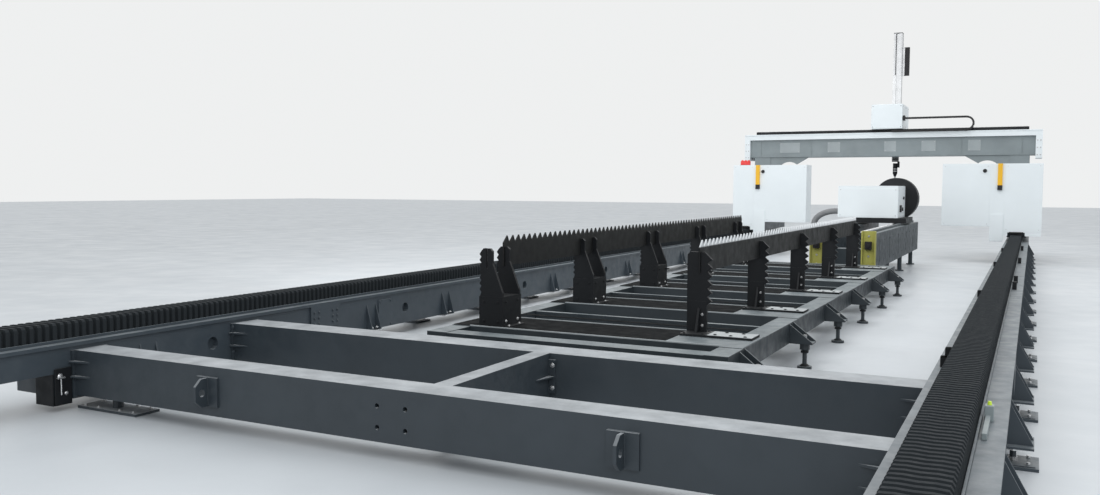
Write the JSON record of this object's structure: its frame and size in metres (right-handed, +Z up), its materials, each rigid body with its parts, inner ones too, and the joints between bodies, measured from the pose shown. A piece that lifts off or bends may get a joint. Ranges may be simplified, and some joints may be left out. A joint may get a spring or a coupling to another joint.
{
  "type": "fiber laser cutting machine",
  "caption": "Gantry laser cutting machine for profiles and sheet: floor rails with folded covers, toothed supports, chuck on its own bed and a tilting head on a lifting ram.",
  "frame": {"origin": "centre of the bounding box at floor level", "axes": "+Y along the rails towards the gantry's parked end, +X to the right seen from the front, +Z up"},
  "size_m": [7.5303, 25.6, 6],
  "materials": {
    "left_rail": "satin dark grey paint",
    "right_rail": "satin dark grey paint",
    "left_guide": "bare steel",
    "right_guide": "bare steel",
    "left_bellows": "black folded fabric",
    "right_bellows": "black folded fabric",
    "front_crossbeam": "satin dark grey paint",
    "second_crossbeam": "satin dark grey paint",
    "left_lifting_lug": "satin dark grey paint",
    "right_lifting_lug": "satin dark grey paint",
    "link_beam": "satin dark grey paint",
    "support_bed": "satin dark grey paint",
    "left_support_1": "matt black paint",
    "left_support_2": "matt black paint",
    "left_support_3": "matt black paint",
    "left_support_4": "matt black paint",
    "left_support_5": "matt black paint",
    "right_support_1": "matt black paint",
    "right_support_2": "matt black paint",
    "right_support_3": "matt black paint",
    "right_support_4": "matt black paint",
    "right_support_5": "matt black paint",
    "left_slat": "matt black paint",
    "right_slat": "bare steel",
    "chuck_bed": "satin grey paint",
    "left_end_post": "yellow paint",
    "right_end_post": "yellow paint",
    "chuck_saddle": "matt black paint",
    "headstock": "satin pale grey paint",
    "hose": "grey ribbed hose",
    "chuck": "matt black paint",
    "chuck_jaw_1": "bare steel",
    "chuck_jaw_2": "bare steel",
    "chuck_jaw_3": "bare steel",
    "chuck_jaw_4": "bare steel",
    "left_truck": "satin dark grey paint",
    "right_truck": "satin dark grey paint",
    "left_leg": "satin grey paint",
    "right_leg": "satin grey paint",
    "left_cover": "satin pale grey paint",
    "right_cover": "satin pale grey paint",
    "left_apron": "satin pale grey paint",
    "right_apron": "satin pale grey paint",
    "left_light_curtain": "yellow paint",
    "right_light_curtain": "yellow paint",
    "left_end_plate": "satin pale grey paint",
    "right_end_plate": "satin pale grey paint",
    "gantry_beam": "satin grey paint",
    "top_plate": "satin pale grey paint",
    "top_strip": "matt black paint",
    "beacon": "red lens",
    "carriage": "satin pale grey paint",
    "cross_chain": "black plastic links",
    "ram": "bare steel",
    "ram_chain": "black plastic links",
    "head_turret": "matt black paint",
    "nozzle": "matt black paint"
  },
  "bodies": {
    "base": {"left_rail": "left_rail", "right_rail": "right_rail", "left_guide": "left_guide", "right_guide": "right_guide", "left_bellows": "left_bellows", "right_bellows": "right_bellows", "front_crossbeam": "front_crossbeam", "second_crossbeam": "second_crossbeam", "left_lifting_lug": "left_lifting_lug", "right_lifting_lug": "right_lifting_lug", "link_beam": "link_beam", "support_bed": "support_bed", "left_support_1": "left_support_1", "left_support_2": "left_support_2", "left_support_3": "left_support_3", "left_support_4": "left_support_4", "left_support_5": "left_support_5", "right_support_1": "right_support_1", "right_support_2": "right_support_2", "right_support_3": "right_support_3", "right_support_4": "right_support_4", "right_support_5": "right_support_5", "left_slat": "left_slat", "right_slat": "right_slat", "chuck_bed": "chuck_bed", "left_end_post": "left_end_post", "right_end_post": "right_end_post"},
    "headstock_unit": {"chuck_saddle": "chuck_saddle", "headstock": "headstock", "hose": "hose"},
    "chuck_body": {"chuck": "chuck"},
    "jaw_a": {"chuck_jaw_1": "chuck_jaw_1"},
    "jaw_b": {"chuck_jaw_2": "chuck_jaw_2"},
    "jaw_c": {"chuck_jaw_3": "chuck_jaw_3"},
    "jaw_d": {"chuck_jaw_4": "chuck_jaw_4"},
    "gantry": {"left_truck": "left_truck", "right_truck": "right_truck", "left_leg": "left_leg", "right_leg": "right_leg", "left_cover": "left_cover", "right_cover": "right_cover", "left_apron": "left_apron", "right_apron": "right_apron", "left_light_curtain": "left_light_curtain", "right_light_curtain": "right_light_curtain", "left_end_plate": "left_end_plate", "right_end_plate": "right_end_plate", "gantry_beam": "gantry_beam", "top_plate": "top_plate", "top_strip": "top_strip", "beacon": "beacon"},
    "cross_carriage": {"carriage": "carriage", "cross_chain": "cross_chain"},
    "lifting_ram": {"ram": "ram", "ram_chain": "ram_chain"},
    "turret": {"head_turret": "head_turret"},
    "cutting_nozzle": {"nozzle": "nozzle"}
  },
  "joints": [
    {"name": "gantry_travel", "type": "slide", "parent": "base", "child": "gantry", "axis": [0, 1, 0], "range_m": [-17.2, 0], "deforming": ["left_bellows", "right_bellows"]},
    {"name": "cross_travel", "type": "slide", "parent": "gantry", "child": "cross_carriage", "axis": [1, 0, 0], "range_m": [-2.2, 2], "deforming": ["cross_chain"]},
    {"name": "ram_travel", "type": "slide", "parent": "cross_carriage", "child": "lifting_ram", "axis": [0, 0, 1], "range_m": [-0.85, 0]},
    {"name": "head_turn", "type": "hinge", "parent": "lifting_ram", "child": "turret", "pos_m": [0.17, 11.6, 2.6], "axis": [0, 0, 1], "range_deg": [-175, 175]},
    {"name": "head_tilt", "type": "hinge", "parent": "turret", "child": "cutting_nozzle", "pos_m": [0.17, 11.6, 2.396], "axis": [1, 0, 0], "range_deg": [-45, 45]},
    {"name": "chuck_feed", "type": "slide", "parent": "base", "child": "headstock_unit", "axis": [0, 1, 0], "range_m": [-3.6, 0], "deforming": ["hose"]},
    {"name": "chuck_spin", "type": "hinge", "parent": "headstock_unit", "child": "chuck_body", "pos_m": [0.83, 6.5403, 1.53], "axis": [0, 1, 0], "continuous": true},
    {"name": "jaw_a_slide", "type": "slide", "parent": "chuck_body", "child": "jaw_a", "axis": [1, 0, 0], "range_m": [-0.05, 0.05]},
    {"name": "jaw_b_slide", "type": "slide", "parent": "chuck_body", "child": "jaw_b", "axis": [0, 0, -1], "range_m": [-0.05, 0.05]},
    {"name": "jaw_c_slide", "type": "slide", "parent": "chuck_body", "child": "jaw_c", "axis": [-1, 0, 0], "range_m": [-0.05, 0.05]},
    {"name": "jaw_d_slide", "type": "slide", "parent": "chuck_body", "child": "jaw_d", "axis": [0, 0, 1], "range_m": [-0.05, 0.05]}
  ],
  "couplings": [
    {"joint": "jaw_b_slide", "follows": "jaw_a_slide", "ratio": 1},
    {"joint": "jaw_c_slide", "follows": "jaw_a_slide", "ratio": 1},
    {"joint": "jaw_d_slide", "follows": "jaw_a_slide", "ratio": 1}
  ]
}
